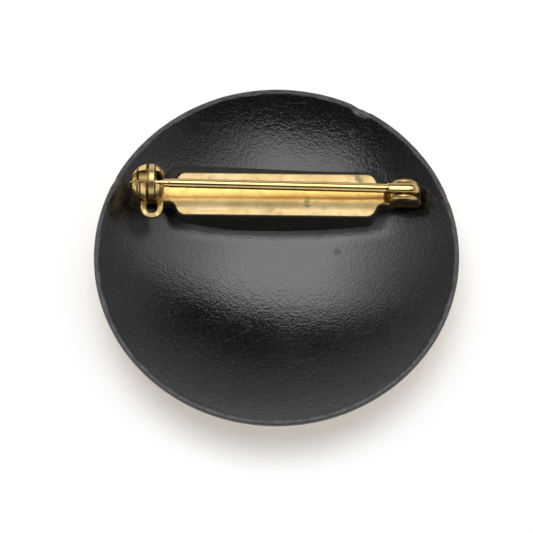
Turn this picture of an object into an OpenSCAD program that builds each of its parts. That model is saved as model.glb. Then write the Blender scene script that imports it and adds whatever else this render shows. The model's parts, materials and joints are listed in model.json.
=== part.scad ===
// Brooch-type badge: a domed, enamelled copper disc with a riveted bar pin on its back.
// Millimetres. The badge lies on its dome: +Z is the back, +X points at the hinge, -X at the catch.

/* [Disc] */
// Outside diameter of the disc
badge_d = 40; // [38:0.5:46]
// Height the dome rises between its edge and its middle
dome_rise = 4.35; // [4.1:0.05:4.6]
// Thickness of the front enamel
front_t = 0.3; // [0.25:0.05:0.4]
// Thickness of the pressed copper
core_t = 0.5; // [0.4:0.05:0.6]
// Thickness of the back enamel
back_t = 0.3; // [0.25:0.05:0.4]
// Width of back enamel wrapped round the copper's edge
edge_wrap = 0.3; // [0.2:0.05:0.4]
// Size of the softened outer edge of the front
edge_soft = 0.45; // [0.3:0.05:0.6]

/* [Bar plate] */
// Distance of the bar pin from the middle of the disc
bar_y = 7.3; // [6.8:0.1:7.8]
// Shift of the bar pin along its own length
bar_x = -0.15; // [-0.3:0.05:0.3]
// Overall length of the bar pin, from the point of the stem to the end of the plate
bar_len = 32.1; // [32:0.05:32.3]
// Width across the wings of the plate
wing_w = 5.05; // [4.6:0.05:5.4]
// Length of the wide part of the plate
wing_len = 21.9; // [20:0.1:22.4]
// Thickness of the brass sheet
plate_t = 0.5; // [0.4:0.05:0.5]
// Height of the pressed rib along the plate
rib_h = 0.35; // [0.2:0.05:0.4]
// Width of the adhesive shown round the plate
bed_margin = 0.35; // [0.25:0.05:0.6]

/* [Hinge] */
// Diameter of the hinge rivet
rivet_d = 0.8; // [0.7:0.05:0.9]
// Radius of the rounded ears
ear_r = 1.6; // [1.55:0.05:1.65]
// Radial clearance between the rivet and the eye of the stem
eye_play = 0.04; // [0.02:0.01:0.06]

/* [Stem] */
// Diameter of the stem wire
stem_d = 1.02; // [0.9:0.02:1.06]
// Length of the ground point
point_len = 1.3; // [1.1:0.1:2]

/* [Catch] */
// Outside diameter of the ball-shaped catch
ball_d = 4; // [3.96:0.02:4.06]
// Width of the turning ring that closes the catch
ring_w = 0.66; // [0.5:0.02:0.7]
// Length of the lever measured from the catch axis
lever_reach = 3.65; // [3.5:0.05:4]

/* [Hidden] */
$fn = 96;
eps = 0.01;
r_out = badge_d / 2;
rf = (r_out * r_out + dome_rise * dome_rise) / (2 * dome_rise);
r_core = rf - front_t;
r_ce = r_core - core_t;
rb = r_ce - back_t;
rim_z = rf - sqrt(rb * rb - r_out * r_out);
rim_cut = 0.12;
end_x = bar_len / 2 - 0.07;
tip_x = -bar_len / 2 - 0.05;
tongue_w = 2.1;
tongue_end = -13.75;
rib_w = 2.4;
ear_x = 14.05;
ear_t = 0.62;
ear_in = 0.57;
ear_z = 2.07 - ear_r;
ear_out = ear_in + ear_t;
floor_r = 0.45;
// the plate rests just clear of the dish at its farthest rounded corner
far_r = floor_r + sqrt(pow(end_x - floor_r + abs(bar_x), 2) + pow(bar_y + ear_out - floor_r, 2));
under_z = rf - sqrt(rb * rb - far_r * far_r) + 0.03;
wing_z = under_z + plate_t;
pivot_x = 14.6;
pivot_z = 1.27;
eye_r = 1.15;
head_t = 0.94;
stem_r = stem_d / 2;
// the wire leaves the top of the eye and climbs a little to the catch
stem_z0 = pivot_z + eye_r - stem_r;
ball_r = ball_d / 2;
ball_x = -13.87;
ball_z = 2.88;
stem_z1 = ball_z - 0.09;
stem_slope = atan((stem_z1 - stem_z0) / (pivot_x - ball_x));
ring_x = -13.58;
bore_r = 1.53;
sleeve_r = 1.5;
sleeve_in = 1.08;
ring_gap = 0.09;
slot_left = 0.24;
ring_r = ball_r + 0.02;

module cap(r0, r1, r_cyl) {
    // shell between two spheres that share a centre, trimmed to a round blank
    intersection() {
        translate([0, 0, rf]) difference() {
            sphere(r = r0, $fn = 180);
            sphere(r = r1, $fn = 180);
        }
        translate([0, 0, -1]) cylinder(r = r_cyl, h = rim_z + 1 - rim_cut, $fn = 180);
        // softened outer edge, a 45 degree cone
        translate([0, 0, dome_rise + edge_soft - r_out]) cylinder(r1 = 0, r2 = 2 * r_out, h = 2 * r_out, $fn = 180);
    }
}

module on_bar() {
    translate([bar_x, bar_y, wing_z]) children();
}

module along_x(x0, x1) {
    translate([x0, 0, 0]) rotate([90, 0, 90]) linear_extrude(height = x1 - x0) children();
}

module along_y(y0, y1) {
    translate([0, y1, 0]) rotate([90, 0, 0]) linear_extrude(height = y1 - y0) children();
}

// sector of a disc in the plane across the catch, 0 degrees straight up, positive to the back
module wedge(a0, a1, r) {
    n = ceil((a1 - a0) / 20);
    polygon(concat([[0, 0]],
        [for (i = [0:n]) let (a = a0 + (a1 - a0) * i / n) [r * sin(a), r * cos(a)]]));
}

module wing_shape(grow) {
    // wide part with rounded corners and hollow shoulders that run into the narrow tongue
    hw = wing_w / 2 + grow;
    hl = wing_len / 2 + grow;
    c = 1.0;
    square([2 * hl - 2 * c, 2 * hw], center = true);
    square([2 * hl, 2 * hw - 2 * c], center = true);
    for (sx = [-1, 1], sy = [-1, 1])
        translate([sx * (hl - c), sy * (hw - c)]) circle(r = c);
    // shoulders
    for (sx = [-1, 1], sy = [-1, 1]) scale([sx, sy]) difference() {
        translate([hl - 0.06, tongue_w / 2 + grow - 0.2]) square([0.91, 1.02]);
        translate([hl + 0.85, tongue_w / 2 + grow + 0.85]) circle(r = 0.85);
    }
}

module plate_outline() {
    wing_shape(0);
    translate([tongue_end, -tongue_w / 2]) square([end_x - tongue_end - 0.5, tongue_w]);
    translate([tongue_end, 0]) circle(d = tongue_w);
    // floor between the ears is wider than the tongue
    translate([ear_x - ear_r, -ear_out]) square([end_x - ear_x + ear_r - floor_r, 2 * ear_out]);
    translate([ear_x, -ear_out + floor_r]) square([end_x - ear_x, 2 * (ear_out - floor_r)]);
    for (s = [-1, 1]) translate([end_x - floor_r, s * (ear_out - floor_r)]) circle(r = floor_r);
}

module rib_bar(w, x0, x1, z0, z1, lean) {
    along_x(x0, x1) polygon([[-w / 2 - lean, z0], [w / 2 + lean, z0], [w / 2 - lean, z1], [-w / 2 + lean, z1]]);
}

module front_enamel() {
    color([0.86, 0.80, 0.68]) cap(rf, r_core, r_out);
}

module copper_core() {
    color([0.72, 0.42, 0.28]) cap(r_core, r_ce, r_out - edge_wrap);
}

module counter_enamel() {
    color([0.05, 0.05, 0.055]) union() {
        cap(r_ce, rb, r_out);
        difference() {
            cap(r_core, r_ce - 0.05, r_out);
            translate([0, 0, -2]) cylinder(r = r_out - edge_wrap, h = rim_z + 4, $fn = 180);
        }
    }
}

module adhesive_bed() {
    color([0.07, 0.065, 0.05]) intersection() {
        union() {
            // the adhesive is squeezed out a little towards the edge of the disc
            translate([bar_x, bar_y + 0.22, 0]) linear_extrude(height = under_z - eps) {
                wing_shape(bed_margin);
                translate([-14.5, -tongue_w / 2 - 0.22]) square([30, tongue_w]);
            }
            // fills the hollow under the rib
            on_bar() translate([-wing_len / 2 + 0.6, -0.68, -plate_t - 0.3])
                cube([wing_len - 1.2, 1.36, 0.3 + rib_h - eps]);
        }
        translate([0, 0, rf]) sphere(r = rb - 0.004, $fn = 180);
    }
}

module ear(y0, y1) {
    along_y(y0, y1) difference() {
        intersection() {
            union() {
                translate([ear_x, ear_z]) circle(r = ear_r);
                translate([ear_x - ear_r, -plate_t]) square([2 * ear_r, ear_z + plate_t]);
            }
            // the folded strip ends level with the underside of the plate
            translate([ear_x - 2, -plate_t]) square([4, 4]);
        }
        translate([pivot_x, pivot_z]) circle(d = rivet_d + 0.02);
    }
}

module pin_plate() {
    color([0.83, 0.66, 0.33]) on_bar() difference() {
        union() {
            translate([0, 0, -plate_t]) linear_extrude(height = plate_t) plate_outline();
            // pressed rib, as wide as the tongue allows at its ends
            rib_bar(rib_w, -wing_len / 2 + 0.3, wing_len / 2 - 0.3, -0.1, rib_h, 0.32);
            rib_bar(tongue_w - 0.5, tongue_end, 12.1, -0.1, rib_h, 0.22);
            ear(ear_in, ear_out);
            ear(-ear_out, -ear_in);
        }
        // hollow under the rib
        translate([-wing_len / 2 + 0.5, -0.7, -plate_t - 1]) cube([wing_len - 1, 1.4, 1 + rib_h]);
    }
}

module hinge_rivet() {
    half = ear_out;
    color([0.76, 0.58, 0.27]) on_bar() translate([pivot_x, 0, pivot_z]) rotate([90, 0, 0]) {
        cylinder(d = rivet_d, h = 2 * half + 0.04, center = true);
        // peened heads
        for (s = [-1, 1]) intersection() {
            translate([0, 0, s * (half + 0.1 - 1.6)]) sphere(r = 1.6);
            translate([0, 0, s * (half + 0.5)]) cylinder(r = 0.5, h = 1, center = true);
        }
    }
}

module pin_stem() {
    wire_len = pivot_x - tip_x;
    seat_len = pivot_x + 11.7;
    color([0.78, 0.62, 0.32]) on_bar() difference() {
        union() {
            // flattened eye
            along_y(-head_t / 2, head_t / 2) {
                translate([pivot_x, pivot_z]) circle(r = eye_r);
                translate([pivot_x + 0.2, pivot_z + eye_r - 1.0]) circle(r = 0.98);
                polygon([[12.1, stem_z0 + stem_r - 0.08], [12.3, stem_z0 + stem_r + 0.02], [pivot_x, pivot_z + eye_r],
                         [pivot_x, pivot_z], [pivot_x - eye_r + 0.08, pivot_z + 0.2], [12.1, stem_z0 - stem_r + 0.12]]);
            }
            // wire and ground point
            translate([pivot_x, 0, stem_z0]) rotate([0, stem_slope, 0]) rotate([0, -90, 0]) {
                translate([0, 0, 2.25]) cylinder(r = stem_r, h = seat_len - 2.25);
                // inside the catch the wire is dressed a little thinner, then pointed
                translate([0, 0, seat_len - 0.1]) cylinder(r1 = stem_r - 0.05, r2 = stem_r - 0.08, h = wire_len - point_len - seat_len + 0.11);
                translate([0, 0, wire_len - point_len]) cylinder(r1 = stem_r - 0.08, r2 = 0.07, h = point_len);
            }
        }
        translate([pivot_x, 0, pivot_z]) rotate([90, 0, 0]) cylinder(r = rivet_d / 2 + eye_play, h = 4, center = true);
    }
}

module catch_housing() {
    color([0.74, 0.58, 0.30]) on_bar() difference() {
        union() {
            intersection() {
                translate([ball_x, 0, ball_z]) sphere(r = ball_r);
                translate([-15.77, -3, 0]) cube([3.5, 6, 6]);
            }
            // foot on the tongue
            translate([-14.6, -0.8, rib_h]) cube([2.05, 1.6, ball_z - rib_h - 1.2]);
        }
        // room for the turning sleeve
        translate([-15.05, 0, ball_z]) rotate([0, 90, 0]) cylinder(r = bore_r, h = 2.17);
        // way through for the stem
        translate([-17, 0, ball_z]) rotate([0, 90, 0]) cylinder(r = 0.66, h = 6);
        // mouth
        translate([-17, -0.83, ball_z]) cube([6, 1.48, 3]);
        // slot for the ring, right round
        translate([ring_x - ring_w / 2 - slot_left, 0, ball_z]) rotate([0, 90, 0])
            cylinder(r = ring_r + ring_gap, h = ring_w + ring_gap + slot_left);
        // slit beside the left cheek
        translate([-14.95, -2.6, ball_z - 0.9]) cube([0.18, 2, 3]);
    }
}

module catch_rotor() {
    half = ring_w / 2;
    color([0.78, 0.61, 0.30]) on_bar() translate([0, 0, ball_z]) {
        // ring that closes over the stem, with the sleeve that turns inside the left half
        difference() {
            intersection() {
                union() {
                    along_x(ring_x - half, ring_x + half) circle(r = ring_r);
                    along_x(-15.0, ring_x) circle(r = sleeve_r);
                }
                along_x(-16, -12.8) wedge(-136, 112, 4);
            }
            along_x(-17, -12) circle(r = sleeve_in);
        }
        // short arc of sleeve on the right
        along_x(ring_x + half - 0.1, -12.94) difference() {
            intersection() {
                circle(r = sleeve_r - 0.02);
                wedge(-134, -36, 4);
            }
            circle(r = sleeve_in + 0.03);
        }
        // root of the lever, in the slot below the front of the ball
        translate([ring_x - half + 0.02, -1.82, -1.70]) cube([ring_w - 0.04, 0.7, 0.36]);
        // looped lever
        translate([0, 0, -1.74]) linear_extrude(height = 0.42) difference() {
            union() {
                translate([ring_x - 1.23, -lever_reach + 1.23]) square([2.46, lever_reach - 1.23 - 1.63]);
                translate([ring_x, -lever_reach + 1.23]) circle(r = 1.23);
            }
            translate([ring_x - 0.58, -lever_reach + 1.17]) square([1.16, lever_reach - 1.17 - 1.93]);
            translate([ring_x, -lever_reach + 1.17]) circle(r = 0.58);
        }
    }
}

front_enamel();
copper_core();
counter_enamel();
adhesive_bed();
pin_plate();
hinge_rivet();
pin_stem();
catch_housing();
catch_rotor();
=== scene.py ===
import bpy, bmesh, json, math, random
import numpy as np
from mathutils import Vector, Matrix, noise


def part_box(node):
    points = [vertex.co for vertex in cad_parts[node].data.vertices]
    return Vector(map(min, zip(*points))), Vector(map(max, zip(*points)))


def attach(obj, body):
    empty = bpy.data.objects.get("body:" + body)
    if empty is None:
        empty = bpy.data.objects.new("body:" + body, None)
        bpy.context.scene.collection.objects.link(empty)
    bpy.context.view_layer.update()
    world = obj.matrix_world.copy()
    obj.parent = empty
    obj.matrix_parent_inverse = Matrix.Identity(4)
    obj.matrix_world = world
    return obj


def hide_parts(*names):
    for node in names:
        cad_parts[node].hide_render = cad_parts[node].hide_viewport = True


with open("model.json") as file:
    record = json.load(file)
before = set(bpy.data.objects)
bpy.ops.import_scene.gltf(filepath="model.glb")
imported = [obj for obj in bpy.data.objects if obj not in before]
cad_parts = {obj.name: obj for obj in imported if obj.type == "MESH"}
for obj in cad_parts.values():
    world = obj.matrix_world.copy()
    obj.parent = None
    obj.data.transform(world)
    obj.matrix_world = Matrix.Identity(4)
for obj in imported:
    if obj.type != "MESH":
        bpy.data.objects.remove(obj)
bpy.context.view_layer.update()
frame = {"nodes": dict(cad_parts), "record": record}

MM = 0.001
rng = random.Random(7)

# ------------------------------------------------------------------ sizes, mm, in the CAD frame
R_OUT = 20.0
RISE = 4.35
RF = (R_OUT * R_OUT + RISE * RISE) / (2 * RISE)
T_FRONT, T_CORE, T_BACK = 0.3, 0.5, 0.3
R_CORE = RF - T_FRONT
R_CE = R_CORE - T_CORE
RB = R_CE - T_BACK
joints = {j["name"]: j for j in frame["record"]["behaviour"]["joints"]}
PIV = Vector(joints["stem_hinge"]["pos_m"]) / MM      # hinge pivot
BALL = Vector(joints["catch_turn"]["pos_m"]) / MM     # middle of the catch
BX, BY = -0.15, PIV.y                                 # middle of the bar
WING = PIV.z - 1.27                                    # top of the sheet
UNDER = WING - 0.5
RIM_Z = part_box("counter_enamel")[1][2] / MM


def dish_z(x, y, r=RB):
    return RF - math.sqrt(max(r * r - x * x - y * y, 0.0))


# ------------------------------------------------------------------ materials
def new_mat(name):
    m = bpy.data.materials.new(name)
    m.use_nodes = True
    nt = m.node_tree
    nt.nodes.clear()
    out = nt.nodes.new("ShaderNodeOutputMaterial")
    bs = nt.nodes.new("ShaderNodeBsdfPrincipled")
    nt.links.new(bs.outputs[0], out.inputs[0])
    co = nt.nodes.new("ShaderNodeTexCoord")
    return m, nt, bs, co


def N(nt, kind, **props):
    n = nt.nodes.new("ShaderNode" + kind)
    for k, v in props.items():
        setattr(n, k, v)
    return n


def noise_tex(nt, vec, scale, detail=3.0, rough=0.55, dist=0.0):
    n = N(nt, "TexNoise")
    n.inputs["Scale"].default_value = scale
    n.inputs["Detail"].default_value = detail
    n.inputs["Roughness"].default_value = rough
    n.inputs["Distortion"].default_value = dist
    nt.links.new(vec, n.inputs["Vector"])
    return n.outputs["Fac"]


def ramp(nt, fac, stops):
    n = N(nt, "ValToRGB")
    cr = n.color_ramp
    while len(cr.elements) > 1:
        cr.elements.remove(cr.elements[-1])
    cr.elements[0].position, cr.elements[0].color = stops[0][0], col(stops[0][1])
    for p, c in stops[1:]:
        e = cr.elements.new(p)
        e.color = col(c)
    nt.links.new(fac, n.inputs["Fac"])
    return n.outputs["Color"]


def col(c):
    if isinstance(c, (int, float)):
        return (c, c, c, 1.0)
    return (*c[:3], 1.0)


def mapr(nt, val, a0, a1, b0, b1, kind="SMOOTHSTEP"):
    n = N(nt, "MapRange", interpolation_type=kind)
    n.inputs["From Min"].default_value = a0
    n.inputs["From Max"].default_value = a1
    n.inputs["To Min"].default_value = b0
    n.inputs["To Max"].default_value = b1
    nt.links.new(val, n.inputs["Value"])
    return n.outputs["Result"]


def math_n(nt, op, a, b=None, clamp=False):
    n = N(nt, "Math", operation=op, use_clamp=clamp)
    for i, v in enumerate((a, b)):
        if v is None:
            continue
        if isinstance(v, (int, float)):
            n.inputs[i].default_value = v
        else:
            nt.links.new(v, n.inputs[i])
    return n.outputs[0]


def mix(nt, fac, a, b, mode="MIX"):
    n = N(nt, "Mix", data_type="RGBA", blend_type=mode)
    for i, v in ((0, fac), (6, a), (7, b)):
        if isinstance(v, (int, float)) and i == 0:
            n.inputs[i].default_value = v
        elif isinstance(v, (tuple, list, float, int)):
            n.inputs[i].default_value = col(v)
        else:
            nt.links.new(v, n.inputs[i])
    return n.outputs[2]


def bump(nt, bs, height, strength, dist, after=None):
    n = N(nt, "Bump")
    n.inputs["Strength"].default_value = strength
    n.inputs["Distance"].default_value = dist
    nt.links.new(height, n.inputs["Height"])
    if after is not None:
        nt.links.new(after, n.inputs["Normal"])
    nt.links.new(n.outputs[0], bs.inputs["Normal"])
    return n.outputs[0]


def spot(nt, pos, centre, radius, soft):
    """1 inside a round patch, 0 outside; positions in metres."""
    n = N(nt, "VectorMath", operation="DISTANCE")
    nt.links.new(pos, n.inputs[0])
    n.inputs[1].default_value = centre
    return mapr(nt, n.outputs["Value"], radius, radius + soft, 1.0, 0.0)


def radius_xy(nt, pos):
    s = N(nt, "SeparateXYZ")
    nt.links.new(pos, s.inputs[0])
    c = N(nt, "CombineXYZ")
    nt.links.new(s.outputs[0], c.inputs[0])
    nt.links.new(s.outputs[1], c.inputs[1])
    l = N(nt, "VectorMath", operation="LENGTH")
    nt.links.new(c.outputs[0], l.inputs[0])
    return l.outputs["Value"], s


def black_enamel():
    m, nt, bs, co = new_mat("black_enamel_fired")
    P = co.outputs["Object"]
    r, s = radius_xy(nt, P)
    # fine orange peel, a longer swell and tiny pits
    fine = noise_tex(nt, P, 3600.0, 2.0, 0.6)
    peel = noise_tex(nt, P, 1500.0, 2.0, 0.5)
    swell = noise_tex(nt, P, 210.0, 2.0, 0.45)
    big = noise_tex(nt, P, 90.0, 4.0, 0.6)
    cloud = noise_tex(nt, P, 300.0, 4.0, 0.65)
    h = math_n(nt, "ADD", math_n(nt, "MULTIPLY", fine, 1.25), math_n(nt, "MULTIPLY", peel, 0.60))
    h = math_n(nt, "ADD", h, math_n(nt, "MULTIPLY", swell, 1.2))
    # ground edge band, uneven width
    wob = noise_tex(nt, P, 420.0, 3.0, 0.6)
    rr = math_n(nt, "ADD", r, mapr(nt, wob, 0.3, 0.7, -0.00009, 0.00009, "LINEAR"))
    band = mapr(nt, rr, 0.01942, 0.01960, 0.0, 1.0)
    dust = mapr(nt, noise_tex(nt, P, 5200.0, 1.0, 0.4), 0.58, 0.72, 0.0, 1.0)
    base = mix(nt, mapr(nt, big, 0.35, 0.7, 0.0, 1.0), (0.0030, 0.0027, 0.0027), (0.0065, 0.0060, 0.0062))
    base = mix(nt, math_n(nt, "MULTIPLY", dust, 0.075), base, (0.22, 0.22, 0.23))
    # painted reflection: a grey patch on the dish in front of the bar, standing in for the overhead light reflected
    # there, which the bar cuts off
    hx = mapr(nt, math_n(nt, "ABSOLUTE", math_n(nt, "SUBTRACT", s.outputs[0], 0.0010)), 0.0096, 0.0132, 1.0, 0.0)
    hy = math_n(nt, "MULTIPLY", mapr(nt, s.outputs[1], 0.0027, 0.0042, 0.0, 1.0), mapr(nt, s.outputs[1], 0.0054, 0.0066, 1.0, 0.0))
    painted_reflection = math_n(nt, "MULTIPLY", hx, hy)
    painted_reflection = math_n(nt, "MULTIPLY", painted_reflection, mapr(nt, cloud, 0.30, 0.60, 0.75, 1.0))
    # the grey base colour here is painted reflected light
    base = mix(nt, painted_reflection, base, (0.102, 0.100, 0.105))
    # small marks: a chip beyond the bar and a smudge
    chip = math_n(nt, "MULTIPLY", spot(nt, P, (0.0082, 0.0149, 0.0036), 0.0006, 0.0007), mapr(nt, cloud, 0.48, 0.56, 0.0, 1.0))
    base = mix(nt, math_n(nt, "MULTIPLY", chip, 0.8), base, (0.10, 0.085, 0.055))
    smudge = spot(nt, P, (0.0067, 0.0021, 0.0014), 0.00035, 0.0003)
    # ground glass grey with darker nicks and a few copper coloured spots
    nick = mapr(nt, noise_tex(nt, P, 900.0, 4.0, 0.7), 0.40, 0.60, 0.0, 1.0)
    grey = mix(nt, nick, (0.042, 0.042, 0.044), (0.080, 0.081, 0.086))
    cop = spot(nt, P, (-0.0179, 0.0084, 0.0050), 0.00018, 0.00025)
    cop2 = spot(nt, P, (0.0183, 0.0068, 0.0050), 0.00020, 0.0003)
    cop = math_n(nt, "MAXIMUM", cop, cop2)
    grey = mix(nt, cop, grey, (0.19, 0.09, 0.05))
    colour = mix(nt, band, base, grey)
    colour = mix(nt, mapr(nt, r, 0.01978, 0.01992, 0.0, 1.0), colour, (0.010, 0.010, 0.011))
    nt.links.new(colour, bs.inputs["Base Color"])
    rough = mapr(nt, big, 0.3, 0.75, 0.07, 0.115, "LINEAR")
    rough = math_n(nt, "ADD", rough, mapr(nt, cloud, 0.35, 0.68, -0.015, 0.03, "LINEAR"))
    rough = math_n(nt, "ADD", rough, math_n(nt, "MULTIPLY", band, 0.30))
    rough = math_n(nt, "ADD", rough, math_n(nt, "MULTIPLY", smudge, 0.25))
    # dull handled patch below the catch
    rough = math_n(nt, "ADD", rough, math_n(nt, "MULTIPLY", spot(nt, P, (-0.0157, 0.0036, 0.0039), 0.0013, 0.0012), 0.22))
    # the lower part of the dish is more worn
    worn = mapr(nt, s.outputs[1], 0.002, -0.014, 0.0, 0.04)
    rough = math_n(nt, "ADD", rough, worn)
    nt.links.new(rough, bs.inputs["Roughness"])
    bs.inputs["IOR"].default_value = 1.54
    bs.inputs["Specular IOR Level"].default_value = 0.50
    # hair scratches, running mostly one way
    mp = N(nt, "Mapping")
    mp.inputs["Rotation"].default_value = (0.0, 0.0, 0.6)
    mp.inputs["Scale"].default_value = (300.0, 9000.0, 300.0)
    nt.links.new(P, mp.inputs["Vector"])
    scr = mapr(nt, noise_tex(nt, mp.outputs[0], 1.0, 2.0, 0.5), 0.66, 0.74, 0.0, 1.0)
    h2 = math_n(nt, "ADD", h, math_n(nt, "MULTIPLY", math_n(nt, "MULTIPLY", nick, band), 0.7))
    h2 = math_n(nt, "SUBTRACT", h2, math_n(nt, "MULTIPLY", scr, 0.12))
    bump(nt, bs, h2, 0.55, 0.00003)
    return m


def front_glaze():
    m, nt, bs, co = new_mat("front_enamel_cream")
    P = co.outputs["Object"]
    r, s = radius_xy(nt, P)
    mott = noise_tex(nt, P, 260.0, 4.0, 0.6)
    fine = noise_tex(nt, P, 2600.0, 2.0, 0.5)
    base = mix(nt, mapr(nt, mott, 0.3, 0.7, 0.0, 1.0), (0.74, 0.60, 0.40), (0.80, 0.69, 0.50))
    rr = math_n(nt, "ADD", r, mapr(nt, mott, 0.3, 0.7, -0.0002, 0.0002, "LINEAR"))
    ring = math_n(nt, "MULTIPLY", mapr(nt, rr, 0.0160, 0.0162, 0.0, 1.0), mapr(nt, rr, 0.0172, 0.0174, 1.0, 0.0))
    base = mix(nt, math_n(nt, "MULTIPLY", ring, 0.75), base, (0.34, 0.17, 0.07))
    edge = mapr(nt, rr, 0.0188, 0.0197, 0.0, 1.0)
    base = mix(nt, math_n(nt, "MULTIPLY", edge, 0.8), base, (0.16, 0.10, 0.06))
    nt.links.new(base, bs.inputs["Base Color"])
    nt.links.new(mapr(nt, mott, 0.3, 0.7, 0.10, 0.17, "LINEAR"), bs.inputs["Roughness"])
    bs.inputs["IOR"].default_value = 1.54
    bump(nt, bs, math_n(nt, "ADD", mott, math_n(nt, "MULTIPLY", fine, 0.15)), 0.25, 0.00008)
    return m


def shade_tube(nt, P, centre, radius, x0, x1, soft=0.00006):
    """1 within a radius of a line along X through centre, between x0 and x1; metres."""
    s = N(nt, "SeparateXYZ")
    nt.links.new(P, s.inputs[0])
    c = N(nt, "CombineXYZ")
    nt.links.new(math_n(nt, "SUBTRACT", s.outputs[1], centre[1]), c.inputs[0])
    nt.links.new(math_n(nt, "SUBTRACT", s.outputs[2], centre[2]), c.inputs[1])
    l = N(nt, "VectorMath", operation="LENGTH")
    nt.links.new(c.outputs[0], l.inputs[0])
    m = mapr(nt, l.outputs["Value"], radius - soft, radius + soft, 1.0, 0.0)
    m = math_n(nt, "MULTIPLY", m, mapr(nt, s.outputs[0], x0 - soft, x0 + soft, 0.0, 1.0))
    return math_n(nt, "MULTIPLY", m, mapr(nt, s.outputs[0], x1 - soft, x1 + soft, 1.0, 0.0))


def brass(name, light, dark, rough=(0.26, 0.40), grain=None, tarnish=0.25, patina_and_shade_spots=(), pit=0.5, brown=(0.16, 0.095, 0.03), painted_shade=(), relief=0.35, painted_highlight=None):
    m, nt, bs, co = new_mat(name)
    P = co.outputs["Object"]
    big = noise_tex(nt, P, 330.0, 4.0, 0.6)
    mid = noise_tex(nt, P, 1400.0, 4.0, 0.62)
    fine = noise_tex(nt, P, 6500.0, 2.0, 0.6)
    base = mix(nt, mapr(nt, big, 0.32, 0.70, 0.0, 1.0), light, dark)
    t = mapr(nt, mid, 0.53, 0.72, 0.0, tarnish)
    base = mix(nt, t, base, brown)
    # small dark pits
    v = N(nt, "TexVoronoi", feature="F1")
    v.inputs["Scale"].default_value = 1500.0
    nt.links.new(P, v.inputs["Vector"])
    pits = mapr(nt, v.outputs["Distance"], 0.05, 0.14, pit, 0.0)
    pits = math_n(nt, "MULTIPLY", pits, mapr(nt, mid, 0.5, 0.62, 0.0, 1.0))
    base = mix(nt, pits, base, (0.06, 0.04, 0.015))
    # spots of patina; on the rotor, a spot of painted shade over the lever
    for centre, radius, c in patina_and_shade_spots:
        base = mix(nt, math_n(nt, "MULTIPLY", spot(nt, P, centre, radius * 0.25, radius * 0.9),
                              mapr(nt, mid, 0.36, 0.55, 0.0, 0.95)), base, c)
    rg = mapr(nt, mid, 0.3, 0.7, rough[0], rough[1], "LINEAR")
    # painted highlight: the brass colour is brightened in a band across Y, standing in for light on the top of the
    # rib
    if painted_highlight:
        y0, y1, c = painted_highlight
        sy = N(nt, "SeparateXYZ")
        nt.links.new(P, sy.inputs[0])
        highlight_band = math_n(nt, "MULTIPLY", mapr(nt, sy.outputs[1], y0 - 0.0005, y0 + 0.0004, 0.0, 1.0), mapr(nt, sy.outputs[1], y1 - 0.0004, y1 + 0.0005, 1.0, 0.0))
        base = mix(nt, highlight_band, base, c, "MULTIPLY")
    # painted shade: darkens the brass inside each tube, in recesses and on faces turned away from the light
    for centre, radius, x0, x1, amount in painted_shade:
        shade_mask = math_n(nt, "MULTIPLY", shade_tube(nt, P, centre, radius, x0, x1), amount)
        base = mix(nt, shade_mask, base, (0.035, 0.020, 0.007))
        rg = math_n(nt, "ADD", rg, math_n(nt, "MULTIPLY", shade_mask, 0.25))
    nt.links.new(base, bs.inputs["Base Color"])
    bs.inputs["Metallic"].default_value = 1.0
    rg = math_n(nt, "ADD", rg, math_n(nt, "MULTIPLY", pits, 0.3))
    nt.links.new(rg, bs.inputs["Roughness"])
    h = math_n(nt, "ADD", math_n(nt, "MULTIPLY", mid, 0.6), math_n(nt, "MULTIPLY", fine, 0.35))
    if grain:
        mp = N(nt, "Mapping")
        mp.inputs["Scale"].default_value = grain
        nt.links.new(P, mp.inputs["Vector"])
        g = noise_tex(nt, mp.outputs[0], 1.0, 3.0, 0.6)
        h = math_n(nt, "ADD", h, math_n(nt, "MULTIPLY", g, 0.9))
    h = math_n(nt, "SUBTRACT", h, math_n(nt, "MULTIPLY", pits, 1.5))
    bump(nt, bs, h, relief, 0.000022)
    return m


def adhesive():
    m, nt, bs, co = new_mat("adhesive_dark")
    P = co.outputs["Object"]
    n1 = noise_tex(nt, P, 500.0, 4.0, 0.6)
    n2 = noise_tex(nt, P, 2600.0, 2.0, 0.5)
    base = mix(nt, mapr(nt, n1, 0.35, 0.65, 0.0, 1.0), (0.014, 0.0128, 0.0092), (0.021, 0.0190, 0.0140))
    nt.links.new(base, bs.inputs["Base Color"])
    nt.links.new(mapr(nt, n1, 0.3, 0.7, 0.40, 0.50, "LINEAR"), bs.inputs["Roughness"])
    bs.inputs["IOR"].default_value = 1.5
    bs.inputs["Specular IOR Level"].default_value = 0.18
    bump(nt, bs, math_n(nt, "ADD", n1, math_n(nt, "MULTIPLY", n2, 0.2)), 0.3, 0.00006)
    return m


def copper():
    m, nt, bs, co = new_mat("copper_pressed")
    P = co.outputs["Object"]
    n1 = noise_tex(nt, P, 400.0, 4.0, 0.6)
    base = mix(nt, mapr(nt, n1, 0.35, 0.65, 0.0, 1.0), (0.60, 0.26, 0.14), (0.33, 0.15, 0.09))
    nt.links.new(base, bs.inputs["Base Color"])
    bs.inputs["Metallic"].default_value = 1.0
    nt.links.new(mapr(nt, n1, 0.3, 0.7, 0.3, 0.5, "LINEAR"), bs.inputs["Roughness"])
    bump(nt, bs, n1, 0.3, 0.00004)
    return m


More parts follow.
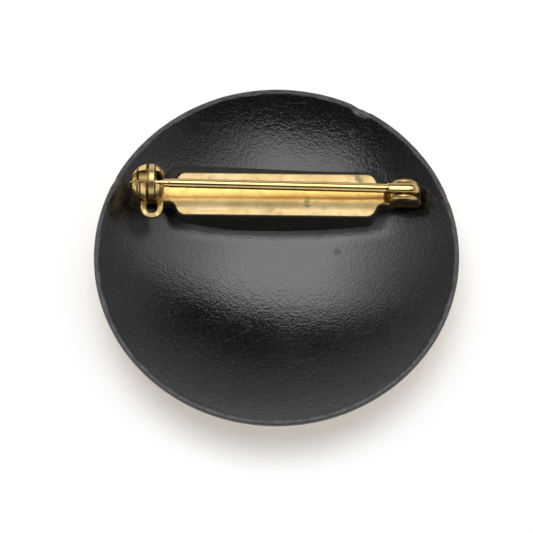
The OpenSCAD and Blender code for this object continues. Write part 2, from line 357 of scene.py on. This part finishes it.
M_BLACK = black_enamel()
M_FRONT = front_glaze()
M_BED = adhesive()
M_COPPER = copper()
wb = lambda px, py, z: (px * MM, py * MM, z * MM)
BC = tuple(c * MM for c in BALL)
M_PLATE = brass("plate_brass_gold", (0.430, 0.330, 0.170), (0.375, 0.268, 0.112), rough=(0.36, 0.47),
                grain=(260.0, 5200.0, 1200.0), tarnish=0.25,
                patina_and_shade_spots=((wb(BX + 3.45, BY - 1.15, WING + 0.2), 0.00055, (0.10, 0.12, 0.045)),
                        (wb(BX + 8.9, BY + 1.9, WING + 0.1), 0.0009, (0.16, 0.13, 0.07)),
                        (wb(BX - 4.7, BY - 2.0, WING + 0.1), 0.0001, (0.12, 0.08, 0.03))),
                # painted shade where the rib runs into the hinge
                painted_shade=((wb(0, BY, WING + 0.1), 0.0009, (BX + 12.15) * MM, (BX + 12.62) * MM, 0.8),),
                # painted highlight on the top of the rib
                painted_highlight=((BY - 0.85) * MM, (BY + 0.9) * MM, (1.85, 1.55, 1.02)))
M_STEM = brass("stem_brass_wire", (0.51, 0.375, 0.170), (0.45, 0.31, 0.120), rough=(0.10, 0.16),
               grain=(240.0, 2600.0, 2600.0), tarnish=0.2, relief=0.05)
M_EAR = brass("hinge_brass", (0.48, 0.34, 0.145), (0.37, 0.25, 0.09), rough=(0.24, 0.36), tarnish=0.35,
              # painted shade on the end lip, on the outer face of the front ear and on the floor between the ears
              painted_shade=((wb(0, BY, WING - 0.02), 0.0013, (BX + 15.62) * MM, (BX + 16.2) * MM, 0.9),
                     (wb(0, BY - 3.25, WING + 0.55), 0.00212, (BX + 12.4) * MM, (BX + 15.5) * MM, 0.75),
                     (wb(0, BY, WING), 0.0005, (BX + 12.0) * MM, (BX + 16.2) * MM, 0.8)))
# painted light: this brass is set much lighter than the other old brass, standing in for light from the low side on
# the ball
M_CATCH = brass("catch_brass_old", (0.82, 0.60, 0.26), (0.66, 0.46, 0.17), rough=(0.28, 0.40), tarnish=0.35,
                # painted shade inside the ball and in the middle slot beside the ring
                painted_shade=((BC, 0.00162, BC[0] - 0.0014, BC[0] + 0.0013, 0.9),
                       (BC, 0.0030, BC[0] - 0.00034, BC[0] + 0.00072, 0.9)))
M_ROTOR = brass("rotor_brass_old", (0.48, 0.355, 0.160), (0.40, 0.28, 0.105), rough=(0.24, 0.36), tarnish=0.35,
                # painted shade: a dark patch over the lever, toning down the light its flat top catches
                patina_and_shade_spots=(((BC[0] + 0.0003, BC[1] - 0.0031, BC[2] - 0.0014), 0.0026, (0.19, 0.135, 0.052)),),
                # painted shade inside the sleeve, where it sits within the ball, and on the crossbar under the ball
                painted_shade=((BC, 0.00112, BC[0] - 0.0014, BC[0] + 0.0013, 0.85),
                       (BC, 0.00156, BC[0] - 0.0014, BC[0] - 0.00008, 0.55),
                       (BC, 0.00156, BC[0] + 0.00064, BC[0] + 0.0013, 0.6),
                       ((BC[0], BC[1] - 0.00178, BC[2] - 0.00150), 0.00032, BC[0] - 0.00026, BC[0] + 0.00084, 0.9)))


# ------------------------------------------------------------------ mesh helpers
def mesh_obj(name, verts, faces, mat, smooth=True, scale=MM):
    me = bpy.data.meshes.new(name)
    me.from_pydata([tuple(c * scale for c in v) for v in verts], [], faces)
    me.validate()
    me.update()
    o = bpy.data.objects.new(name, me)
    bpy.context.scene.collection.objects.link(o)
    if mat:
        me.materials.append(mat)
    if smooth:
        me.polygons.foreach_set("use_smooth", [True] * len(me.polygons))
    return o


def lathe(name, prof, segs, mat, wobble=None):
    """Closed profile of (r, z) turned round Z. The first and last points may sit on the axis."""
    verts, faces, rows = [], [], []
    for i, (r, z) in enumerate(prof):
        if r < 1e-9:
            rows.append([len(verts)] * segs)
            verts.append((0, 0, z))
            continue
        row = []
        for k in range(segs):
            a = 2 * math.pi * k / segs
            rr, zz = (r, z) if wobble is None else wobble(i, r, z, a)
            row.append(len(verts))
            verts.append((rr * math.cos(a), rr * math.sin(a), zz))
        rows.append(row)
    for a, b in zip(rows, rows[1:]):
        for k in range(segs):
            q = [a[k], a[(k + 1) % segs], b[(k + 1) % segs], b[k]]
            f = []
            for v in q:
                if v not in f:
                    f.append(v)
            if len(f) > 2:
                faces.append(f)
    return mesh_obj(name, verts, faces, mat)


def remeshed(name, src_objs, voxel, smooth, mat, body, nodes=()):
    """Joins closed meshes kept in millimetres, remeshes them finely, softens the edges and brings them to metres."""
    bpy.ops.object.select_all(action="DESELECT")
    for o in src_objs:
        o.select_set(True)
    bpy.context.view_layer.objects.active = src_objs[0]
    if len(src_objs) > 1:
        bpy.ops.object.join()
    o = bpy.context.view_layer.objects.active
    o.name = name
    o.data.name = name
    o.data.materials.clear()
    r = o.modifiers.new("r", "REMESH")
    r.mode = "VOXEL"
    r.voxel_size = voxel
    r.use_smooth_shade = True
    if smooth:
        s = o.modifiers.new("s", "SMOOTH")
        s.factor = 0.5
        s.iterations = smooth
    dg = bpy.context.evaluated_depsgraph_get()
    me = bpy.data.meshes.new_from_object(o.evaluated_get(dg))
    me.transform(Matrix.Scale(MM, 4))
    me.materials.clear()
    me.materials.append(mat)
    me.polygons.foreach_set("use_smooth", [True] * len(me.polygons))
    old = o.data
    o.modifiers.clear()
    o.data = me
    bpy.data.meshes.remove(old)
    o.name = name
    me.name = name
    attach(o, body)
    if nodes:
        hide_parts(*nodes)
    return o


def node_copy(node):
    """A copy of a CAD node's mesh in millimetres, to be softened."""
    src = frame["nodes"][node]
    me = src.data.copy()
    me.transform(Matrix.Scale(1000.0, 4))
    bm = bmesh.new()
    bm.from_mesh(me)
    bmesh.ops.remove_doubles(bm, verts=bm.verts, dist=1e-4)
    bm.to_mesh(me)
    bm.free()
    o = bpy.data.objects.new(node + "_mm", me)
    bpy.context.scene.collection.objects.link(o)
    return o


# ------------------------------------------------------------------ the disc
def arc_profile(R, r0, r1, n):
    return [(r0 + (r1 - r0) * i / n, RF - math.sqrt(R * R - (r0 + (r1 - r0) * i / n) ** 2)) for i in range(n + 1)]


chips = []
for k in range(46):
    a = rng.uniform(0, 2 * math.pi)
    chips.append((a, rng.uniform(0.006, 0.02), rng.uniform(0.004, 0.02)))
chips += [(math.radians(63.5), 0.030, 0.16), (math.radians(60.5), 0.014, 0.12), (math.radians(154.5), 0.02, 0.10), (math.radians(20.0), 0.02, 0.08)]


def rim_wobble(i, r, z, a):
    if r < 19.2:
        return r, z
    d = 0.0
    for c, w, h in chips:
        t = (a - c + math.pi) % (2 * math.pi) - math.pi
        if abs(t) < 3 * w:
            d += h * math.exp(-(t / w) ** 2)
    e = 0.02 * math.sin(5 * a + 1) + 0.015 * math.sin(13 * a + 2) + 0.02 * noise.noise(Vector((6 * math.cos(a), 6 * math.sin(a), 3)))
    f = min(1.0, (r - 19.2) / 0.6)
    return r - f * (0.003 + abs(e) * 0.3 + 0.5 * d) + 0.0, z - (d * 0.9 + 0.01 * (1 + math.sin(9 * a))) * f * (1 if z > 4.75 else 0)


prof = arc_profile(RB, 0.0, 19.5, 90)
zr = RIM_Z
prof += [(19.62, dish_z(19.62, 0) - 0.005), (19.72, min(zr - 0.01, dish_z(19.72, 0))), (19.83, zr + 0.06), (19.93, zr + 0.08), (19.985, zr + 0.01),
         (20.0, zr - 0.10), (20.0, zr - 0.25), (19.985, 4.95), (19.93, 4.84), (19.80, 4.70), (19.72, 4.64)]
prof += [(19.70, RF - math.sqrt(R_CE ** 2 - 19.70 ** 2) - 0.02)] + [(r, z) for r, z in reversed(arc_profile(R_CE, 0.0, 19.6, 24))]
dish = lathe("back_enamel", prof, 420, M_BLACK, rim_wobble)
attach(dish, "badge")
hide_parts("counter_enamel")

prof = arc_profile(RF, 0.0, 19.1, 70)
prof += [(19.25, 4.01), (19.42, 4.15), (19.58, 4.33), (19.66, 4.47), (19.66, 4.56)] + list(reversed(arc_profile(R_CORE, 0.0, 19.62, 30)))
front = lathe("front_enamel_dome", prof, 300, M_FRONT)
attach(front, "badge")
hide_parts("front_enamel")

core = frame["nodes"]["copper_core"]
for s in core.material_slots:
    s.material = M_COPPER


# ------------------------------------------------------------------ outline of the plate
WL, WW, TW = 21.9, 5.05, 2.1


def half_width(x, grow=0.0):
    """Half width of the plate at x along the bar: wide part, rounded corners, hollow shoulders, tongue."""
    hl = WL / 2 + grow
    hw = WW / 2 + grow
    tw = TW / 2 + grow
    c, rr = 1.0, 0.85
    ax = abs(x)
    if ax <= hl - c:
        return hw
    conv = hw - c + math.sqrt(max(c * c - (ax - hl + c) ** 2, 0.0)) if ax < hl else 0.0
    conc = tw + rr - math.sqrt(max(rr * rr - (rr - (ax - hl)) ** 2, 0.0)) if hl - 0.001 <= ax <= hl + rr else tw
    return max(conv, conc)


def stations():
    xs = list(np.arange(-12.4, 15.0, 0.16))
    for s in (-1, 1):
        xs += list(s * np.arange(9.8, 12.05, 0.03))
    xs += [12.0, 12.05, 12.1, 12.15, 12.2, 12.3]
    # rounded end under the catch
    for k in range(0, 15):
        xs.append(-13.75 - 1.05 * math.sin(math.radians(6 * k)))
    xs += [-13.4, -13.0]
    return sorted(set(round(float(x), 3) for x in xs))


def end_width(x):
    w = half_width(x)
    if x < -13.75:
        w = min(w, math.sqrt(max(1.05 ** 2 - (x + 13.75) ** 2, 0.0009)))
    return w


def smooth01(t):
    t = min(max(t, 0.0), 1.0)
    return t * t * (3 - 2 * t)


def plate_top(x, y):
    """Height of the stamped surface over the wings."""
    ay = abs(y)
    rib = 0.35 * (smooth01((1.46 - y) / 0.90) if y > 0 else smooth01((2.02 + y) / 1.50))
    end = smooth01((12.22 - x) / 0.42)
    z = rib * end
    z += 0.05 * math.exp(-((12.0 - x) / 0.25) ** 2) * smooth01((1.2 - ay) / 0.4)
    # the sheet is a little wavy
    z += 0.018 * noise.noise(Vector((x * 0.35, y * 0.6, 1.7))) + 0.006 * noise.noise(Vector((x * 1.3, y * 1.6, 5.0)))
    return z


def build_plate():
    xs = stations()
    us = []
    n = 44
    for i in range(n + 1):
        us.append(-1 + 2 * i / n)
    verts, rows = [], []
    for x in xs:
        edge = min(0.09, 0.45 * end_width(x))
        w = end_width(x)
        row = []
        # top, left edge to right edge, with a rolled arris
        ring = []
        for u in us:
            y = u * (w - edge)
            ring.append((y, plate_top(x, y)))
        for k in range(1, 5):
            a = math.radians(22.5 * k)
            ring.append((w - edge + edge * math.sin(a), plate_top(x, w - edge) - edge + edge * math.cos(a)))
        ring.append((w, -0.42))
        ring.append((w - 0.6 * edge, -0.49))
        ring.append((-w + 0.6 * edge, -0.49))
        ring.append((-w, -0.42))
        for k in range(4, 0, -1):
            a = math.radians(22.5 * k)
            ring.append((-w + edge - edge * math.sin(a), plate_top(x, -w + edge) - edge + edge * math.cos(a)))
        for y, z in ring:
            row.append(len(verts))
            verts.append((BX + x, BY + y, WING + z))
        rows.append(row)
    faces = []
    m = len(rows[0])
    for a, b in zip(rows, rows[1:]):
        for k in range(m):
            faces.append([a[k], a[(k + 1) % m], b[(k + 1) % m], b[k]])
    faces.append(list(rows[0]))
    faces.append(list(reversed(rows[-1])))
    return verts, faces


v, f = build_plate()
plate = mesh_obj("plate_sheet", v, f, M_PLATE)
bm = bmesh.new(); bm.from_mesh(plate.data)
bmesh.ops.recalc_face_normals(bm, faces=bm.faces)
bm.to_mesh(plate.data); bm.free()
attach(plate, "badge")
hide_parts("pin_plate")


# ------------------------------------------------------------------ prisms in millimetres
def prism_y(pts, y0, y1, name="prism"):
    """Outline in X and Z, extruded along Y. Millimetres."""
    n = len(pts)
    verts = [(x, y0, z) for x, z in pts] + [(x, y1, z) for x, z in pts]
    faces = [list(range(n)), list(range(2 * n - 1, n - 1, -1))]
    faces += [[i, i + n, (i + 1) % n + n, (i + 1) % n] for i in range(n)]
    o = mesh_obj(name, verts, faces, None, smooth=False, scale=1.0)
    bm = bmesh.new(); bm.from_mesh(o.data)
    bmesh.ops.recalc_face_normals(bm, faces=bm.faces)
    bm.to_mesh(o.data); bm.free()
    return o


def block(x0, x1, y0, y1, z0, z1, name="block"):
    return prism_y([(x0, z0), (x1, z0), (x1, z1), (x0, z1)], y0, y1, name)


def rod_y(cx, cz, r, y0, y1, n=64):
    return prism_y([(cx + r * math.cos(2 * math.pi * i / n), cz + r * math.sin(2 * math.pi * i / n)) for i in range(n)], y0, y1, "rod")


def rod_z(cx, cy, r, z0, z1, n=48):
    pts = [(cx + r * math.cos(2 * math.pi * i / n), cy + r * math.sin(2 * math.pi * i / n)) for i in range(n)]
    verts = [(x, y, z0) for x, y in pts] + [(x, y, z1) for x, y in pts]
    faces = [list(range(n - 1, -1, -1)), list(range(n, 2 * n))]
    faces += [[i, (i + 1) % n, (i + 1) % n + n, i + n] for i in range(n)]
    return mesh_obj("rod_z", verts, faces, None, smooth=False, scale=1.0)


# hinge ears, floor and end lip, folded from the same strip
EX, EZ, ER = BX + 14.05, WING + 0.47, 1.66


def ear_pts():
    pts = []
    for k in range(0, 33):
        a = math.radians(-8 + (196) * k / 32)
        pts.append((EX + ER * math.cos(a), EZ + ER * math.sin(a)))
    pts += [(EX - ER - 0.02, WING - 0.45), (EX + ER + 0.02, WING - 0.45)]
    return pts


parts = [prism_y(ear_pts(), BY + 0.55, BY + 1.22), prism_y(ear_pts(), BY - 1.22, BY - 0.55)]
parts.append(block(EX - ER, BX + 15.60, BY - 1.19, BY + 1.19, WING - 0.5, WING - 0.02))
parts.append(block(BX + 15.50, BX + 15.97, BY - 0.80, BY + 0.80, WING - 0.5, WING - 0.02))
for sgn in (-1, 1):
    q = rod_z(BX + 15.53, BY + sgn * 0.74, 0.45, WING - 0.5, WING - 0.02)
    parts.append(q)
ears = remeshed("hinge_ears", parts, 0.03, 70, M_EAR, "badge", nodes=("pin_plate",))

# rivet: CAD shape softened
riv = remeshed("hinge_rivet_head", [node_copy("hinge_rivet")], 0.03, 3, M_EAR, "badge", nodes=("hinge_rivet",))

# catch: CAD shapes with worn edges
hous = remeshed("catch_ball", [node_copy("catch_housing")], 0.026, 24, M_CATCH, "badge", nodes=("catch_housing",))
rot = remeshed("catch_ring_lever", [node_copy("catch_rotor")], 0.026, 40, M_ROTOR, "catch_lever", nodes=("catch_rotor",))
st = node_copy("pin_stem")
for vt in st.data.vertices:   # the head is a little fatter than the wire
    vt.co.y = BY + (vt.co.y - BY) * (1.0 + 0.15 * smooth01((vt.co.x - (PIV.x - 2.7)) / 0.9))
stem = remeshed("stem_wire", [st], 0.03, 70, M_STEM, "pin", nodes=("pin_stem",))

# the eye of the stem and the ears are rounded across, like pressed wire and strip
for vt in stem.data.vertices:
    x, y, z = (c / MM for c in vt.co)
    wgt = smooth01((x - (PIV.x - 2.8)) / 0.7)
    if wgt > 0:
        k = 1.0 - 0.13 * wgt * min(abs(y - BY) / 0.54, 1.0) ** 2
        vt.co.z = (PIV.z + (z - PIV.z) * k) * MM
        if x > PIV.x:
            vt.co.x = (PIV.x + (x - PIV.x) * k) * MM
for vt in ears.data.vertices:
    x, y, z = (c / MM for c in vt.co)
    if z > WING - 0.02:
        k = 1.0 - 0.11 * smooth01((z - WING) / 0.5) * min(abs(abs(y - BY) - 0.88) / 0.32, 1.0) ** 2
        vt.co.x = (EX + (x - EX) * k) * MM
        vt.co.z = (EZ + (z - EZ) * k) * MM if z > EZ else vt.co.z


# ------------------------------------------------------------------ adhesive bed
def build_bed():
    """A smooth collar of adhesive round the plate, running down into the dish with an uneven foot."""
    xs = np.concatenate([np.linspace(-13.2, -10.2, 40), np.linspace(-10.1, 10.1, 120), np.linspace(10.2, 13.0, 40)])
    top_z = WING - 0.30
    loop = []
    for x in xs:
        loop.append((float(x), 1))
    for x in reversed(xs):
        loop.append((float(x), -1))

    def margin(x, side):
        if side > 0:   # towards the edge of the disc
            m = 0.82 - 0.45 * smooth01((x + 9.0) / 16.0)
        else:
            m = 0.03
        return m + 0.03 * noise.noise(Vector((x * 1.7, side * 5.0, 0.3)))

    outline = []
    for x, side in loop:
        m = margin(x, side)
        w = half_width(x, m)
        outline.append(Vector((x, side * w)))
    n = len(outline)
    levels = [(-0.9, 0.10), (-0.35, 0.03), (0.0, 0.0), (0.10, -0.05), (0.19, -0.18), (0.25, -0.45), (0.30, -0.75), (0.38, -0.92), (0.55, -1.0), (0.7, -1.06)]
    verts, rows = [], []
    for li, (off, lev) in enumerate(levels):
        row = []
        for i in range(n):
            p, q, r = outline[(i - 1) % n], outline[i], outline[(i + 1) % n]
            t = (r - p).normalized()
            nrm = Vector((-t.y, t.x))
            if nrm.dot(q - Vector((0, 0))) < 0 and abs(q.y) > 0.3:
                nrm = -nrm
            side = -1 if q.y < 0 else 1
            go = off
            if side < 0 and li > 2:
                # wall towards the middle of the disc: nearly upright, with a wavy foot
                f = float(np.interp(q.x, [-9.6, -8.2, -5.0, -1.8, 2.6, 5.8, 8.0, 9.4], [-0.20, -0.04, 0.24, 0.19, 0.15, 0.06, 0.03, -0.05]))
                f += 0.05 * noise.noise(Vector((q.x * 1.1, 2.0, 7.0))) + 0.05 * noise.noise(Vector((q.x * 3.7, 1.0, 2.0)))
                go = max(f, -0.25) * (0.0, 0.20, 0.35, 0.60, 0.85, 1.0, 1.15)[li - 3] + (0.0, 0.01, 0.0, 0.0, 0.0, 0.0, 0.02)[li - 3]
            elif side > 0 and li >= 5:
                go -= 0.12 * (li - 4) / 4.0
            pt = q + nrm * go
            gx, gy = BX + pt.x, BY + pt.y
            zd = dish_z(gx, gy)
            if lev <= 0:
                z = top_z + (-lev if lev < -1 else 0) * 0 + lev * (top_z - zd) if lev > -1 else zd - 0.05
            else:
                z = top_z + lev
            z = max(z, zd - 0.06)
            row.append(len(verts))
            verts.append((gx, gy, z))
        rows.append(row)
    faces = []
    for a, b in zip(rows, rows[1:]):
        for k in range(n):
            faces.append([a[k], a[(k + 1) % n], b[(k + 1) % n], b[k]])
    return verts, faces


v, f = build_bed()
bed = mesh_obj("adhesive_collar", v, f, M_BED)
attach(bed, "badge")
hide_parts("adhesive_bed")

# ------------------------------------------------------------------ floor, world, lights, camera
me = bpy.data.meshes.new("floor")
s = 3.0
me.from_pydata([(-s, -s, 0), (s, -s, 0), (s, s, 0), (-s, s, 0)], [], [[0, 1, 2, 3]])
floor = bpy.data.objects.new("floor", me)
bpy.context.scene.collection.objects.link(floor)
m, nt, bs, co = new_mat("floor_white")
fn = noise_tex(nt, co.outputs["Object"], 30.0, 2.0, 0.5)
nt.links.new(ramp(nt, fn, [(0.0, 0.90), (1.0, 0.915)]), bs.inputs["Base Color"])
bs.inputs["Roughness"].default_value = 0.8
bs.inputs["Specular IOR Level"].default_value = 0.2
bs.inputs["Emission Color"].default_value = (1.0, 1.0, 1.0, 1.0)
bs.inputs["Emission Strength"].default_value = 0.11
me.materials.append(m)
floor.location.z = -0.00005

w = bpy.data.worlds.new("studio")
bpy.context.scene.world = w
w.use_nodes = True
nt = w.node_tree
nt.nodes.clear()
out = nt.nodes.new("ShaderNodeOutputWorld")
bg = nt.nodes.new("ShaderNodeBackground")
nt.links.new(bg.outputs[0], out.inputs[0])
co = nt.nodes.new("ShaderNodeTexCoord")
sp = nt.nodes.new("ShaderNodeSeparateXYZ")
nt.links.new(co.outputs["Generated"], sp.inputs[0])
X, Y, Z = sp.outputs[0], sp.outputs[1], sp.outputs[2]
# pale studio, dim towards the viewer and overhead, brighter on the right and low at the back
side_r = mapr(nt, X, 0.30, 0.52, 0.0, 0.50)
side_l = math_n(nt, "MULTIPLY", mapr(nt, X, -0.40, -0.66, 0.0, 0.34), mapr(nt, Y, -0.30, 0.05, 0.12, 1.0))
low = mapr(nt, Z, 0.70, 0.52, 0.0, 0.55)
lower = mapr(nt, Z, 0.47, 0.32, 0.0, 0.70)
low = math_n(nt, "MULTIPLY", math_n(nt, "ADD", low, lower), mapr(nt, Y, -0.45, 0.10, 1.0, 1.0))
tot = math_n(nt, "ADD", math_n(nt, "MAXIMUM", math_n(nt, "MAXIMUM", side_r, side_l), low), mapr(nt, Z, 0.66, 0.80, 0.08, 0.045))
cb = N(nt, "CombineXYZ")
for i in range(3):
    nt.links.new(tot, cb.inputs[i])
nt.links.new(cb.outputs[0], bg.inputs["Color"])
bg.inputs["Strength"].default_value = 1.0


def area(name, loc, sx, sy, radiance, colour=(1, 1, 1)):
    """Soft panel that faces straight down."""
    l = bpy.data.lights.new(name, "AREA")
    l.shape = "RECTANGLE"
    l.size, l.size_y = sx, sy
    l.energy = radiance * math.pi * sx * sy
    l.color = colour
    o = bpy.data.objects.new(name, l)
    bpy.context.scene.collection.objects.link(o)
    o.location = loc
    return o


TURN = math.radians(-12.0)
# one soft panel overhead whose light fades out sideways: stacked strips of growing width
for k, (x0, x1, y0, y1, rad) in enumerate(((-0.33, 0.18, -0.205, 0.665, 1.25), (-0.44, 0.33, -0.03, 0.665, 1.05), (-0.58, 0.46, -0.03, 0.665, 0.8),
                                           (-0.72, 0.60, 0.08, 0.69, 0.6), (-0.90, 0.74, 0.12, 0.69, 0.4),
                                           (-0.23, 0.18, -0.205, -0.03, 0.7), (-0.33, 0.30, -0.205, -0.03, 0.7), (-0.42, 0.42, -0.16, -0.03, 0.6))):
    mid = Matrix.Rotation(TURN, 2) @ Vector((0.5 * (x0 + x1) + 0.03, 0.5 * (y0 + y1) - 0.25))
    o = area("soft_panel_%d" % k, (mid.x - 0.03, mid.y + 0.25, 1.0 + 0.002 * k), x1 - x0, y1 - y0, rad)
    o.rotation_euler = (0.0, 0.0, TURN)

cam = bpy.data.cameras.new("cam")
cam_o = bpy.data.objects.new("cam", cam)
bpy.context.scene.collection.objects.link(cam_o)
EL, AZ, ROLL, FPX, CX, CY, DIST = 66.73, 1.95, 1.11, 4565.7, 276.49, 256.08, 500.0
e, a, r = map(math.radians, (EL, AZ, ROLL))
back = Vector((math.sin(a) * math.cos(e), -math.cos(a) * math.cos(e), math.sin(e)))
right = Vector((math.cos(a), math.sin(a), 0))
up = back.cross(right)
R1 = right * math.cos(r) - up * math.sin(r)
U1 = right * math.sin(r) + up * math.cos(r)
tgt = Vector((0, 0, 5.0))
pos = tgt + back * DIST - R1 * ((CX - 266.5) / FPX * DIST) - U1 * ((266.5 - CY) / FPX * DIST)
mw = Matrix(((R1.x, U1.x, back.x, pos.x * MM), (R1.y, U1.y, back.y, pos.y * MM), (R1.z, U1.z, back.z, pos.z * MM), (0, 0, 0, 1)))
cam_o.matrix_world = mw
cam.sensor_width = 36.0
cam.lens = FPX * 36.0 / 533.0
cam.clip_start = 0.01
cam.clip_end = 20.0
bpy.context.scene.camera = cam_o
bpy.context.scene.view_settings.view_transform = "Standard"
bpy.context.scene.view_settings.look = "None"
